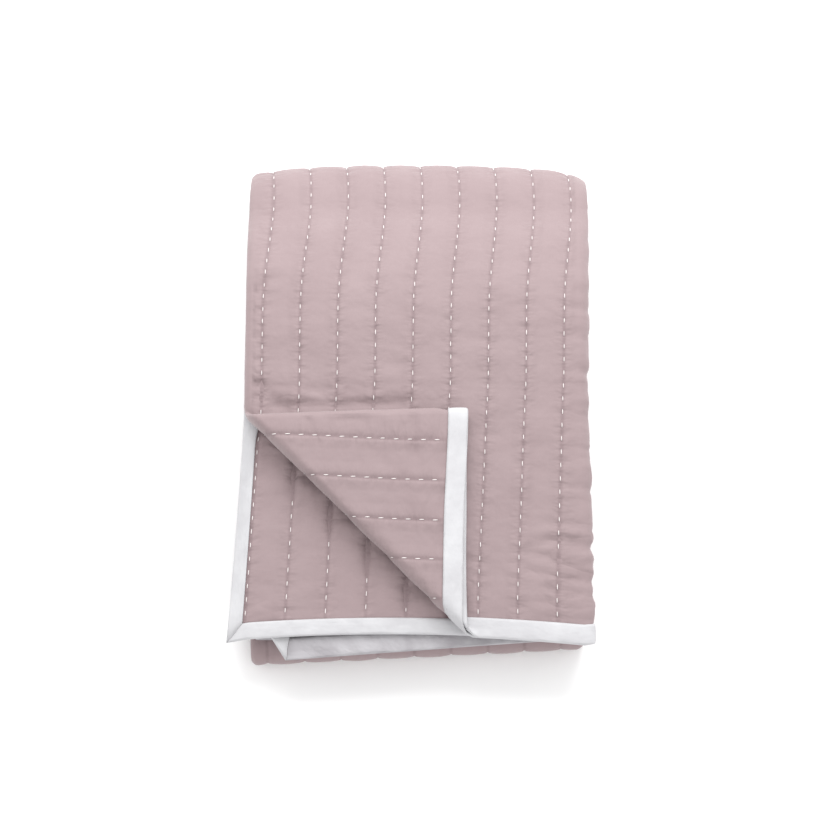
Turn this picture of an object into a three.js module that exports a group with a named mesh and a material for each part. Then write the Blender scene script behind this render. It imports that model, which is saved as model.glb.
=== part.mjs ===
// Folded bedspread: a channel-quilted cloth with a bound edge, folded in three across its width
// and in half twice along its length, with the front left corner of its top turned back.
// Millimetres. +X is right, +Y is the back, +Z is up, and it rests on z = 0.
//
// The cloth is first laid out flat: u runs across it, v along it, and w through its thickness.
import * as THREE from 'three';
import { mergeVertices } from 'three/addons/utils/BufferGeometryUtils.js';

// Quilted cloth
const CHANNEL = 43; // from one line of quilting to the next
const CROWN = 8; // thickness in the middle of a channel
const VALLEY = 3; // thickness at a line, and inside the binding
const EDGE_MARGIN = 23; // from the cloth's edge to its first line
const FOLD_MARGIN = 15.5; // from the fold on the right to the top's first line
const FLAP_MARGIN = 13.5; // from the fold on the left to the inner layer's first line
const SWELL_POWER = 0.7; // how squarely a channel swells

// Binding
const BINDING_WIDTH = 19;
const BINDING_CLOTH = 1.2;
const NOSE_FLATNESS = 0.7; // how much of the binding's thickness its outer edge keeps
const THIN_BESIDE = 1.5; // how far past the binding the cloth stays thin
const FACET_BESIDE = 1.2; // where the cloth's facets meet beside the binding
const HEM_SWELL = 12; // how far past an end's binding the channels are full
const MITRE_MARGIN = 2; // from a mitre to the binding's next facet
const CLEARANCE = 0.5; // between the binding and the faces of the cloth inside it
const EDGE_CLEARANCE = 1.8; // between the binding's fold and the cloth's edge
const MITRE_GAP = 0.5;

// Stack
const PITCH = 9.5; // from one layer to the next before the stack settles
const LEFT_FOLD_X = -181.5; // centre of the soft fold on the left
const RIGHT_FOLD_X = 189; // centre of the soft fold on the right
const OUTER_EDGE_X = -188.5; // bound side that shows on the left
const INNER_EDGE_X = 181; // bound side inside the threefold
const BACK_FOLD_Y = 246.5;
const FRONT_FOLD_Y = -256;
const END_Y = -279; // both bound ends
const HALF_WIDTH = 200;

// Turned corner
const TURN_LINE = -206; // x + y where the corner starts to leave the stack
const TURN_LENGTH = 20; // cloth taken up by the bend
const TURN_CLEARANCE = 1; // half of the extra room inside the bend
const TURN_FLATNESS = 0.41; // the bend's reach as a share of its half height
const TURN_STEPS = 4;

// How far the cloth's edges and folds stray from the places above, most of all at the front
const STRAY = {
  lowerEnd: {
    outerEdge: { x: 42, y: -20 },
    lowRight: { x: 0, y: 6 },
    rightFold: { x: 0, y: 6 },
    leftFold: { x: 12, y: 6 },
    innerEdge: { x: -3, y: 6 },
  },
  frontFold: {
    outerEdge: { x: 8, y: -10 },
    lowRight: { x: -4, y: 4 },
    rightFold: { x: -4, y: 4 },
    leftFold: { x: 8, y: -10 },
    innerEdge: { x: -4, y: 4 },
  },
  topEnd: {
    outerEdge: { x: -16, y: -1.5 },
    lowRight: { x: 6, y: -1 },
    rightFold: { x: 5, y: -7 },
    leftFold: { x: -8, y: -3 },
    innerEdge: { x: 3, y: 4 },
  },
  back: {
    outerEdge: { x: 0, y: 0 },
    lowRight: { x: 5, y: 0 },
    rightFold: { x: 5, y: 0 },
    leftFold: { x: 0, y: 0 },
    innerEdge: { x: 0, y: 0 },
  },
};
const STRAY_POWER = 1.2;
const LOWER_CORNER_POWER = 5; // the lower end's corners stray sideways only near the front
const PULL_BACK = { under: 5, top: 7.5 }; // the top end's edge, half way across

// Outer edge of the top's lowest layer, which curls over the stack's side
const EDGE_TUCK = 7.5; // how much narrower the curl makes its binding
const CURL_BY_Y = -60; // the curl grows from y = 0 to here

// Drift of the quilting lines: the top's to the right at the back and to the left at the front,
// and those of the turned corner away from its fold
const TOP_DRIFT = { back: 9, fromY: 96, front: 13.5, frontFromY: 16, frontReach: 248 };
const FLAP_DRIFT = 15;

// Height of the settled stack from front to back, as a share of its full height
const SETTLING = [
  { y: -304, share: 0.77 },
  { y: -104, share: 0.89 },
  { y: -4, share: 0.95 },
  { y: 86, share: 1.0 },
  { y: 141, share: 0.955 },
  { y: 192, share: 0.81 },
  { y: 236, share: 0.62 },
  { y: 296, share: 0.5 },
];
const SIDE_DROP = 0.07; // lost height at the sides
const BACK_BOW = 6.5; // how far the back's edge bows
const CORNER_ROUNDING = 8; // how much further its corners are drawn in
const BACK_START_Y = 146;
const BACK_REACH = 156;

// Facets
const RIGHT_FOLD_STEPS = 4;
const LEFT_FOLD_STEPS = 3;
const INNER_BACK_STEPS = 4;
const FRONT_STEPS = 5;
const OUTER_BACK_STEPS = 6;
const ROWS_Y = [-80, 60, 125, 182];
const SPARSE_ROWS_Y = [-80, 125, 182];

// Stretches of cloth, each with where it starts and ends
function inOrder(stretches) {
  let start = 0;
  return stretches.map(({ name, length }) => {
    const stretch = { name, length, start, end: start + length };
    start += length;
    return stretch;
  });
}

const STRIPS = inOrder([
  { name: 'under', length: RIGHT_FOLD_X - OUTER_EDGE_X },
  { name: 'rightFold', length: Math.PI * PITCH },
  { name: 'top', length: RIGHT_FOLD_X - LEFT_FOLD_X },
  { name: 'leftFold', length: (Math.PI * PITCH) / 2 },
  { name: 'inner', length: INNER_EDGE_X - LEFT_FOLD_X },
]);
const [UNDER, RIGHT_FOLD, TOP, LEFT_FOLD, INNER] = STRIPS;
const CLOTH_WIDTH = INNER.end;

const QUARTERS = inOrder([
  { name: 'first', length: BACK_FOLD_Y - END_Y },
  { name: 'innerBack', length: Math.PI * PITCH * 1.5 },
  { name: 'second', length: BACK_FOLD_Y - FRONT_FOLD_Y },
  { name: 'front', length: Math.PI * PITCH * 1.5 },
  { name: 'third', length: BACK_FOLD_Y - FRONT_FOLD_Y },
  { name: 'outerBack', length: Math.PI * PITCH * 4.5 },
  { name: 'fourth', length: BACK_FOLD_Y - END_Y },
]);
const [FIRST, INNER_BACK, SECOND, FRONT, THIRD, OUTER_BACK, FOURTH] = QUARTERS;
const CLOTH_LENGTH = FOURTH.end;

function stretchAt(stretches, place) {
  return stretches.find(({ end }) => place <= end) ?? stretches[stretches.length - 1];
}

const { clamp, lerp } = THREE.MathUtils;

// A smooth step from 0 at low to 1 at high, which may be the smaller of the two
function smoothStep(low, high, value) {
  const t = clamp((value - low) / (high - low), 0, 1);
  return t * t * (3 - 2 * t);
}

// Section across the threefold: place, height from the middle layer, and outward direction
function acrossPoint(u) {
  const strip = stretchAt(STRIPS, u);
  const along = u - strip.start;
  const share = along / strip.length;
  switch (strip) {
    case UNDER:
      return { x: OUTER_EDGE_X + along, h: -PITCH, outX: 0, outH: -1 };
    case RIGHT_FOLD: {
      const angle = Math.PI * (share - 0.5);
      const [c, s] = [Math.cos(angle), Math.sin(angle)];
      return { x: RIGHT_FOLD_X + PITCH * c, h: PITCH * s, outX: c, outH: s };
    }
    case TOP:
      return { x: RIGHT_FOLD_X - along, h: PITCH, outX: 0, outH: 1 };
    case LEFT_FOLD: {
      const angle = Math.PI * (share + 0.5);
      const [c, s] = [Math.cos(angle), Math.sin(angle)];
      return { x: LEFT_FOLD_X + (PITCH / 2) * c, h: (PITCH / 2) * (1 + s), outX: c, outH: s };
    }
    default:
      return { x: LEFT_FOLD_X + along, h: 0, outX: 0, outH: -1 };
  }
}

// Route of the middle layer along the cloth: place, height and the direction of the top layer
function alongPoint(v) {
  const quarter = stretchAt(QUARTERS, v);
  const along = v - quarter.start;
  const angle = Math.PI * (along / quarter.length - 0.5);
  const [c, s] = [Math.cos(angle), Math.sin(angle)];
  const flat = (y, layers, up) => ({ y, z: layers * PITCH, upY: 0, upZ: up });
  const tight = PITCH * 1.5;
  const wide = PITCH * 4.5;
  switch (quarter) {
    case FIRST:
      return flat(END_Y + along, 7.5, -1);
    case INNER_BACK:
      return { y: BACK_FOLD_Y + tight * c, z: 6 * PITCH - tight * s, upY: -c, upZ: s };
    case SECOND:
      return flat(BACK_FOLD_Y - along, 4.5, 1);
    case FRONT:
      return { y: FRONT_FOLD_Y - tight * c, z: 3 * PITCH - tight * s, upY: -c, upZ: -s };
    case THIRD:
      return flat(FRONT_FOLD_Y + along, 1.5, -1);
    case OUTER_BACK:
      return { y: BACK_FOLD_Y + wide * c, z: 6 * PITCH + wide * s, upY: c, upZ: s };
    default:
      return flat(BACK_FOLD_Y - along, 10.5, 1);
  }
}

// Lines of quilting across each strip
function quiltingLines() {
  const count = (length, first, last) => Math.floor((length - first - last) / CHANNEL) + 1;
  const lines = [];
  const add = (from, number) => {
    for (let i = 0; i < number; i += 1) lines.push(from + i * CHANNEL);
  };
  add(UNDER.start + EDGE_MARGIN, count(UNDER.length, EDGE_MARGIN, 0));
  add(TOP.start + FOLD_MARGIN, count(TOP.length, FOLD_MARGIN, 0));
  add(INNER.start + FLAP_MARGIN, count(INNER.length, FLAP_MARGIN, BINDING_WIDTH));
  return lines;
}

const LINES = quiltingLines();

// Half the cloth's thickness: full between two lines, thin at a line and inside the binding
function halfThickness(u, v) {
  const inBinding = Math.min(u, CLOTH_WIDTH - u, v, CLOTH_LENGTH - v) <= BINDING_WIDTH + THIN_BESIDE;
  if (inBinding) return VALLEY / 2;
  const before = [...LINES].reverse().find((line) => line <= u + 0.01) ?? 0;
  const after = LINES.find((line) => line > u + 0.01) ?? CLOTH_WIDTH;
  const swell = Math.sin((Math.PI * (u - before)) / (after - before)) ** SWELL_POWER;
  return lerp(VALLEY, CROWN, clamp(swell, 0, 1)) / 2;
}

// How far across the cloth the quilting drifts at a place
function lineDrift(u, v) {
  const strip = stretchAt(STRIPS, u);
  const y = BACK_FOLD_Y - (v - FOURTH.start);
  const along = u - strip.start;
  const beforeEnd = strip.length - along;
  if (strip === TOP && v > OUTER_BACK.start) {
    const onTop = smoothStep(OUTER_BACK.start, FOURTH.start, v);
    const back = TOP_DRIFT.back * smoothStep(TOP_DRIFT.fromY, BACK_FOLD_Y, y) * onTop;
    const forward = clamp((TOP_DRIFT.frontFromY - y) / TOP_DRIFT.frontReach, 0, 1);
    const front = TOP_DRIFT.front * forward * smoothStep(0, 120, beforeEnd);
    return (front - back) * Math.min(1, along / FOLD_MARGIN, beforeEnd / 10);
  }
  if (strip === INNER && v > FOURTH.start) {
    const window = smoothStep(0, FLAP_MARGIN, along) * (1 - smoothStep(230, 330, along));
    return FLAP_DRIFT * smoothStep(0, END_Y, y) * window;
  }
  return 0;
}

// How far a place strays sideways, and forward, from the straight fold or edge
function stray(u, v, y) {
  const quarter = stretchAt(QUARTERS, v);
  const lower = quarter === FIRST || quarter === INNER_BACK;
  const upper = quarter === OUTER_BACK || quarter === FOURTH;
  let end = STRAY.frontFold;
  if (lower) end = STRAY.lowerEnd;
  if (upper) end = STRAY.topEnd;
  if (y > 0) end = STRAY.back;
  const strip = stretchAt(STRIPS, u);
  const along = u - strip.start;
  const share = along / strip.length;
  const [from, to] = {
    under: [end.outerEdge, end.lowRight],
    rightFold: [end.lowRight, end.rightFold],
    top: [end.rightFold, end.leftFold],
    leftFold: [end.leftFold, end.leftFold],
    inner: [end.leftFold, end.innerEdge],
  }[strip.name];
  const reach = clamp(y / (y > 0 ? BACK_FOLD_Y : END_Y), 0, 1);
  const shift = {
    x: lerp(from.x, to.x, share) * reach ** (lower ? LOWER_CORNER_POWER : STRAY_POWER),
    y: lerp(from.y, to.y, share) * reach ** STRAY_POWER,
  };
  const pull = PULL_BACK[strip.name];
  if (upper && y < 0 && pull) shift.y += pull * Math.sin(Math.PI * share) * reach ** STRAY_POWER;
  if (upper && strip === UNDER) {
    const tucked = clamp(along / EDGE_MARGIN, 0, 1) * (1 - smoothStep(200, strip.length, along));
    shift.x -= EDGE_TUCK * tucked * smoothStep(0, CURL_BY_Y, y);
  }
  return shift;
}

// A point of the flat cloth, folded. past is how far it lies beyond the turned corner's line
function fold(u, v, w) {
  const across = acrossPoint(u);
  const route = alongPoint(v);
  const h = across.h + w * across.outH;
  const shift = stray(u, v, route.y);
  const x = across.x + w * across.outX + shift.x;
  const y = route.y + h * route.upY + shift.y;
  const z = route.z + h * route.upZ;
  const turns = v >= FOURTH.start && u >= TOP.start;
  return { x, y, z, past: turns ? (TURN_LINE - x - y) / Math.SQRT2 : -1 };
}

// The corner bends up along a slanting line and lies back on the stack
function turnCorner({ x, y, z, past }) {
  if (past <= 0) return { x, y, z };
  const centre = 12 * PITCH + TURN_CLEARANCE;
  const radius = centre - z;
  const steps = (TURN_STEPS * Math.min(past, TURN_LENGTH)) / TURN_LENGTH;
  const facet = Math.min(Math.floor(steps), TURN_STEPS - 1);
  const [from, to] = [facet, facet + 1].map((step) => (Math.PI * step) / TURN_STEPS);
  const alongFacet = (wave) => radius * lerp(wave(from), wave(to), steps - facet);
  const beyond = Math.max(past - TURN_LENGTH, 0);
  const move = (past - TURN_FLATNESS * alongFacet(Math.sin) + beyond) / Math.SQRT2;
  return { x: x + move, y: y + move, z: centre - alongFacet(Math.cos) };
}

function settledShare(y) {
  const inFront = SETTLING.filter((row) => row.y <= y).length;
  const i = clamp(inFront, 1, SETTLING.length - 1);
  const [a, b] = [SETTLING[i - 1], SETTLING[i]];
  return lerp(a.share, b.share, clamp((y - a.y) / (b.y - a.y), 0, 1));
}

// The stack sinks under its own weight, most of all at the back fold, the sides and the front
function settle({ x, y, z }) {
  const side = Math.min(Math.abs(x) / HALF_WIDTH, 1);
  const back = clamp((y - BACK_START_Y) / BACK_REACH, 0, 1);
  const height = settledShare(y) * (1 - SIDE_DROP * side ** 4);
  const lowest = (PITCH - CROWN) / 2;
  const drawnIn = (BACK_BOW * side ** 2 + CORNER_ROUNDING * side ** 8) * back ** 2;
  return [x, y - drawnIn, (z - lowest) * height];
}

// Cuts the triangles where the corner has turned by a given length of cloth
function cutAt(points, triangles, level) {
  const cuts = new Map();
  const side = (i) => Math.sign(Math.round((points[i].past - level) * 1e4));
  const cut = (i, j) => {
    const key = i < j ? `${i}_${j}` : `${j}_${i}`;
    if (!cuts.has(key)) {
      const [a, b] = [points[i], points[j]];
      const share = (level - a.past) / (b.past - a.past);
      const mix = (name) => lerp(a[name], b[name], share);
      points.push({ x: mix('x'), y: mix('y'), z: mix('z'), past: level });
      cuts.set(key, points.length - 1);
    }
    return cuts.get(key);
  };
  const result = [];
  for (const triangle of triangles) {
    const sides = triangle.map(side);
    const mixed = sides.includes(1) && sides.includes(-1);
    if (!mixed) {
      result.push(triangle);
      continue;
    }
    const touching = sides.indexOf(0);
    const lone = sides.findIndex((s) => s !== 0 && sides.filter((t) => t === s).length === 1);
    const first = touching >= 0 ? touching : lone;
    const [a, b, c] = [0, 1, 2].map((i) => triangle[(first + i) % 3]);
    if (touching >= 0) {
      const m = cut(b, c);
      result.push([a, b, m], [a, m, c]);
    } else {
      const [m, n] = [cut(a, b), cut(a, c)];
      result.push([a, m, n], [m, b, c], [m, c, n]);
    }
  }
  return result;
}

// Closed body from a geometry whose points are first moved on the flat cloth by place()
function foldedMesh(name, material, source, place) {
  source.deleteAttribute('normal');
  source.deleteAttribute('uv');
  const merged = mergeVertices(source, 1e-3);
  const position = merged.attributes.position;
  const points = [];
  for (let i = 0; i < position.count; i += 1) {
    const { u, v, w } = place(position.getX(i), position.getY(i), position.getZ(i));
    points.push(fold(u, v, w));
  }
  let triangles = [];
  const index = merged.index.array;
  for (let i = 0; i < index.length; i += 3) {
    triangles.push([index[i], index[i + 1], index[i + 2]]);
  }
  for (let k = 0; k <= TURN_STEPS; k += 1) {
    triangles = cutAt(points, triangles, (TURN_LENGTH * k) / TURN_STEPS);
  }
  const geometry = new THREE.BufferGeometry();
  const settled = points.flatMap((point) => settle(turnCorner(point)));
  geometry.setAttribute('position', new THREE.Float32BufferAttribute(settled, 3));
  geometry.setIndex(triangles.flat());
  geometry.computeVertexNormals();
  const mesh = new THREE.Mesh(geometry, material);
  mesh.name = name;
  return mesh;
}

// Places across the cloth where its facets meet: the lines, the crowns and round the folds
function acrossStations() {
  const stations = new Set([0, CLOTH_WIDTH, ...LINES]);
  for (let i = 1; i < LINES.length; i += 1) {
    const gap = LINES[i] - LINES[i - 1];
    if (Math.abs(gap - CHANNEL) < 0.01) stations.add((LINES[i] + LINES[i - 1]) / 2);
  }
  const foldSteps = (stretch, steps) => {
    for (let i = 0; i <= steps; i += 1) stations.add(stretch.start + (stretch.length * i) / steps);
  };
  foldSteps(RIGHT_FOLD, RIGHT_FOLD_STEPS);
  foldSteps(LEFT_FOLD, LEFT_FOLD_STEPS);
  stations.add(CLOTH_WIDTH - BINDING_WIDTH - FACET_BESIDE);
  return [...stations].sort((a, b) => a - b);
}

// Places along the cloth where its facets meet
function alongStations() {
  const stations = [];
  const hems = [0, BINDING_WIDTH + FACET_BESIDE, BINDING_WIDTH + HEM_SWELL];
  const rounded = (stretch, steps) => {
    for (let i = 1; i < steps; i += 1) stations.push(stretch.start + (stretch.length * i) / steps);
  };
  stations.push(...hems, ...hems.map((hem) => CLOTH_LENGTH - hem));
  stations.push(...QUARTERS.slice(1).map(({ start }) => start));
  for (const y of ROWS_Y) {
    stations.push(FIRST.start + y - END_Y, SECOND.start + BACK_FOLD_Y - y, FOURTH.start + BACK_FOLD_Y - y);
  }
  for (const y of SPARSE_ROWS_Y) stations.push(THIRD.start + y - FRONT_FOLD_Y);
  rounded(INNER_BACK, INNER_BACK_STEPS);
  rounded(FRONT, FRONT_STEPS);
  rounded(OUTER_BACK, OUTER_BACK_STEPS);
  return stations.sort((a, b) => a - b);
}

const ACROSS = acrossStations();
const ALONG = alongStations();

// The quilted cloth: its face that lies on the floor is flat, every other one swells
function quiltedPanel(material) {
  const columns = ACROSS.length - 1;
  const rows = ALONG.length - 1;
  const box = new THREE.BoxGeometry(columns, rows, 1, columns, rows, 1);
  return foldedMesh('quilted_panel', material, box, (x, y, z) => {
    const u = ACROSS[Math.round(x + columns / 2)];
    const v = ALONG[Math.round(y + rows / 2)];
    const onFloor = z > 0 && v >= THIRD.start && v <= THIRD.end && u >= TOP.start && u <= TOP.end;
    const half = onFloor ? CROWN / 2 : halfThickness(u, v);
    return { u: u + lineDrift(u, v), v, w: Math.sign(z) * half };
  });
}

// Outline of the binding across its edge: x is the way in from the cloth's edge, y the thickness
function bindingOutline() {
  const inside = VALLEY / 2 + CLEARANCE;
  const outside = inside + BINDING_CLOTH;
  const nose = -EDGE_CLEARANCE - BINDING_CLOTH;
  const corners = [
    [BINDING_WIDTH, -outside],
    [BINDING_WIDTH, -inside],
    [-EDGE_CLEARANCE, -inside],
    [-EDGE_CLEARANCE, inside],
    [BINDING_WIDTH, inside],
    [BINDING_WIDTH, outside],
    [nose, outside * NOSE_FLATNESS],
    [nose, -outside * NOSE_FLATNESS],
  ];
  return new THREE.Shape(corners.map(([x, y]) => new THREE.Vector2(x, y)));
}

// A strip of binding along one edge, mitred at both ends. stations run along that edge
function bindingStrip(name, material, stations, length, placeOnCloth) {
  const corner = BINDING_WIDTH + MITRE_MARGIN;
  const inner = stations.filter((place) => place > corner && place < length - corner);
  const steps = inner.length + 1;
  const options = { depth: steps, steps, bevelEnabled: false };
  const strip = new THREE.ExtrudeGeometry(bindingOutline(), options);
  return foldedMesh(name, material, strip, (inset, w, step) => {
    const i = Math.round(step);
    let along = inner[i - 1];
    if (i === 0) along = inset + MITRE_GAP;
    if (i === steps) along = length - inset - MITRE_GAP;
    return placeOnCloth(inset, along, w);
  });
}

const pinkCotton = new THREE.MeshStandardMaterial({ color: 0xc9aeb0, roughness: 0.8, metalness: 0 });
const whiteCotton = new THREE.MeshStandardMaterial({ color: 0xe9e8ec, roughness: 0.8, metalness: 0 });

const bedspread = new THREE.Group();
bedspread.add(quiltedPanel(pinkCotton));
bedspread.add(
  bindingStrip('binding_top_end', whiteCotton, ACROSS, CLOTH_WIDTH, (inset, along, w) => ({
    u: along + lineDrift(along, CLOTH_LENGTH - inset),
    v: CLOTH_LENGTH - inset,
    w: -w,
  })),
);
bedspread.add(
  bindingStrip('binding_lower_end', whiteCotton, ACROSS, CLOTH_WIDTH, (inset, along, w) => ({
    u: along,
    v: inset,
    w,
  })),
);
bedspread.add(
  bindingStrip('binding_outer_side', whiteCotton, ALONG, CLOTH_LENGTH, (inset, along, w) => ({
    u: inset,
    v: along,
    w: -w,
  })),
);
bedspread.add(
  bindingStrip('binding_inner_side', whiteCotton, ALONG, CLOTH_LENGTH, (inset, along, w) => ({
    u: CLOTH_WIDTH - inset,
    v: along,
    w,
  })),
);

export default bedspread;
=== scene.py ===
"""Folded bedspread: channel-quilted pink cotton with a white bound edge.

The cloth is modelled flat, with u across it, v along it and w through its thickness, and is then
folded in three across its width and in half twice along its length. The front left corner of its
top two layers is turned back. Lengths are in metres, written as millimetres times MM. The tables
STRAY, SETTLING, CREASES and RUMPLES, the tucks and PULL_BACK hold plain millimetres.
"""

import math
from collections import namedtuple
from functools import lru_cache

import bmesh
import bpy
from mathutils import Matrix, Vector, noise


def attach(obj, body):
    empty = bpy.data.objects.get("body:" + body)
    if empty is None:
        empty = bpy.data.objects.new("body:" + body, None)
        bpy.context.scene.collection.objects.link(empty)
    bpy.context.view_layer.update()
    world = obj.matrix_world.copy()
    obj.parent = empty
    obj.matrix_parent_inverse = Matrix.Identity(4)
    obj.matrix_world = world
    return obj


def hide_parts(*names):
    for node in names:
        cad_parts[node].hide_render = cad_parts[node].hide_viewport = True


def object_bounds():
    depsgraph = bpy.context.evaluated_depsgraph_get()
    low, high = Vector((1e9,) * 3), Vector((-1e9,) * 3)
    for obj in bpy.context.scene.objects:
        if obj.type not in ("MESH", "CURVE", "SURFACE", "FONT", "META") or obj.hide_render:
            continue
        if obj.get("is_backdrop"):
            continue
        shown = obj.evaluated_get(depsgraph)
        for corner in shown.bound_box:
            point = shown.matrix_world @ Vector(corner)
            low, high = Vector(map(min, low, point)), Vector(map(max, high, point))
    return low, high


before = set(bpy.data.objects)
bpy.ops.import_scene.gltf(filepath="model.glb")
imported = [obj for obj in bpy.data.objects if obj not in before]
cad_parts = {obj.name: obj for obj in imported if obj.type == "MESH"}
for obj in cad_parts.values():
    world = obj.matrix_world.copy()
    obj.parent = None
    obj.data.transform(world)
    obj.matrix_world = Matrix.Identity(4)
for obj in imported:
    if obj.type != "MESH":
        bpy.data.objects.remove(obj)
CAD_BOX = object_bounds()

bl_info = {
    "name": "Folded Bedspread",
    "version": (1, 0, 0),
    "blender": (4, 5, 0),
    "location": "View3D > Sidebar > Bedspread",
    "description": "Builds a folded, quilted and bound bedspread in a plain studio",
    "category": "Object",
}

MM = 0.001

# What the rows of the tables below hold
Wave = namedtuple("Wave", "across along layer strength")
Settled = namedtuple("Settled", "y share")
Stretch = namedtuple("Stretch", "name start length end")

# Quilted cloth: its lines, the first line of each strip, and how it swells between two lines
CHANNEL = 43 * MM
CROWN = 8 * MM
VALLEY = 3 * MM
EDGE_MARGIN = 23 * MM
FOLD_MARGIN = 15.5 * MM
FLAP_MARGIN = 13.5 * MM
SWELL_POWER = 0.5
MOST_SWELL = 1.15
LONG_SWELL = Wave(37, 11, 1.7, 0.3)
SHORT_SWELL = Wave(53, 34, 5.9, 0.2)

# Binding
BINDING_WIDTH = 20 * MM
BINDING_CLOTH = 1.2 * MM
BINDING_CLEARANCE = 0.5 * MM
BINDING_PLUMPNESS = 0.5 * MM
PLUMPNESS_POWER = 0.7
EDGE_CLEARANCE = 1.2 * MM
MITRE_GAP = 0.2 * MM
MITRE_ROOM = 2 * MM
NOSE_REACH = 6 * MM
FINE_RIPPLE = Wave(55, 30, 0, 0.35 * MM)
COARSE_RIPPLE = Wave(16, 0, 5, 0.35 * MM)

# Where the cloth stops being thin for the binding, has its full thickness and its full creases
THIN_EDGE = BINDING_WIDTH + 0.5 * MM
HEM = BINDING_WIDTH + 16 * MM
FULL_CREASES = BINDING_WIDTH + 8 * MM

# Stack. A fold's radius and the level of each quarter's middle layer are counted in layers
PITCH = 9.5 * MM
LAYERS = 12
TIGHT_FOLD = 1.5
WIDE_FOLD = 4.5
LEVEL = dict(first=7.5, inner_back=6, second=4.5, front=3, third=1.5, outer_back=6, fourth=10.5)
LEFT_FOLD_X = -181.5 * MM
RIGHT_FOLD_X = 189 * MM
OUTER_EDGE_X = -188.5 * MM
INNER_EDGE_X = 181 * MM
BACK_FOLD_Y = 246.5 * MM
FRONT_FOLD_Y = -260 * MM
END_Y = -279 * MM
HALF_WIDTH = 200 * MM

# Turned corner: where it starts to bend, how much cloth the bend takes and how flat it is pressed.
# Its outer layer lags behind its inner one, more and more over LAG_RAMP from the left fold
TURN_LINE = -206 * MM
TURN_LENGTH = 20 * MM
TURN_CENTRE = LAYERS * PITCH + 1 * MM
TURN_FLATNESS = 0.41
TURN_LAG = 4.5 * MM
LAG_LIMIT = 0.5
LAG_RAMP = 120 * MM
TURN_CUTS = 10
CORNER_SHOWS_FROM = -10 * MM

# How far the cloth's edges and folds stray in mm from those places: sideways, and back or forward.
# The powers say how late the straying sets in, and the top's front edge is pulled back in its middle
STRAY = {
    "lower_end": dict(outer=(49, -20), low_right=(-3, 4), right=(-3, 4), left=(12, 6), inner=(-3, 6)),
    "front_fold": dict(outer=(8, -12), low_right=(-4, 6), right=(-4, 6), left=(8, -12), inner=(-4, 6)),
    "top_end": dict(outer=(-17.5, 1), low_right=(5, -1), right=(5, -7), left=(-8, -3), inner=(3, 4)),
    "back": dict(outer=(0, 0), low_right=(5, 0), right=(5, 0), left=(0, 0), inner=(0, 0)),
}
STRAY_POWER = 1.2
LOWER_CORNER_POWER = 5
PULL_BACK = 7.5
SIDES = {
    "under": ("outer", "low_right"),
    "right_fold": ("low_right", "right"),
    "top": ("right", "left"),
    "left_fold": ("left", "left"),
    "inner": ("left", "inner"),
}

# Edges of the top's lowest layer: how far in mm its side and its end are tucked in, the lengths over
# which the tucks come and go, and how far its side droops between two places
EDGE_TUCK = 7.5
END_TUCK = 4.0
TUCK_RISE = 24 * MM
END_TUCK_HOLD = 60 * MM
TUCK_REACH = 200 * MM
FRONT_RAMP = 60 * MM
EDGE_DROOP = 0.16
DROOP_FROM_X = -178 * MM
DROOP_TO_X = -207 * MM

# Drift of the quilting lines across the cloth, and the places between which it grows and fades
TOP_DRIFT_BACK = 9 * MM
TOP_DRIFT_FRONT = 13.5 * MM
BACK_DRIFT_Y = 96 * MM
FRONT_DRIFT_Y = 16 * MM
FRONT_DRIFT_REACH = 248 * MM
LEFT_DRIFT_REACH = 120 * MM
DRIFT_FADE = 10 * MM
FLAP_DRIFT = 15 * MM
FLAP_DRIFT_FADE = (230 * MM, 330 * MM)

# Height of the settled stack from front to back, as a share of its full height
SETTLING = (
    Settled(-304, 0.77),
    Settled(-104, 0.89),
    Settled(-4, 0.95),
    Settled(86, 1.0),
    Settled(141, 0.955),
    Settled(192, 0.81),
    Settled(236, 0.62),
    Settled(296, 0.5),
)
SIDE_DROP = 0.07
SIDE_DROP_POWER = 4
BACK_BOW = 6.5 * MM
CORNER_ROUNDING = 8 * MM
CORNER_POWER = 8
BACK_START_Y = 146 * MM
BACK_REACH = 156 * MM

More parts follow.
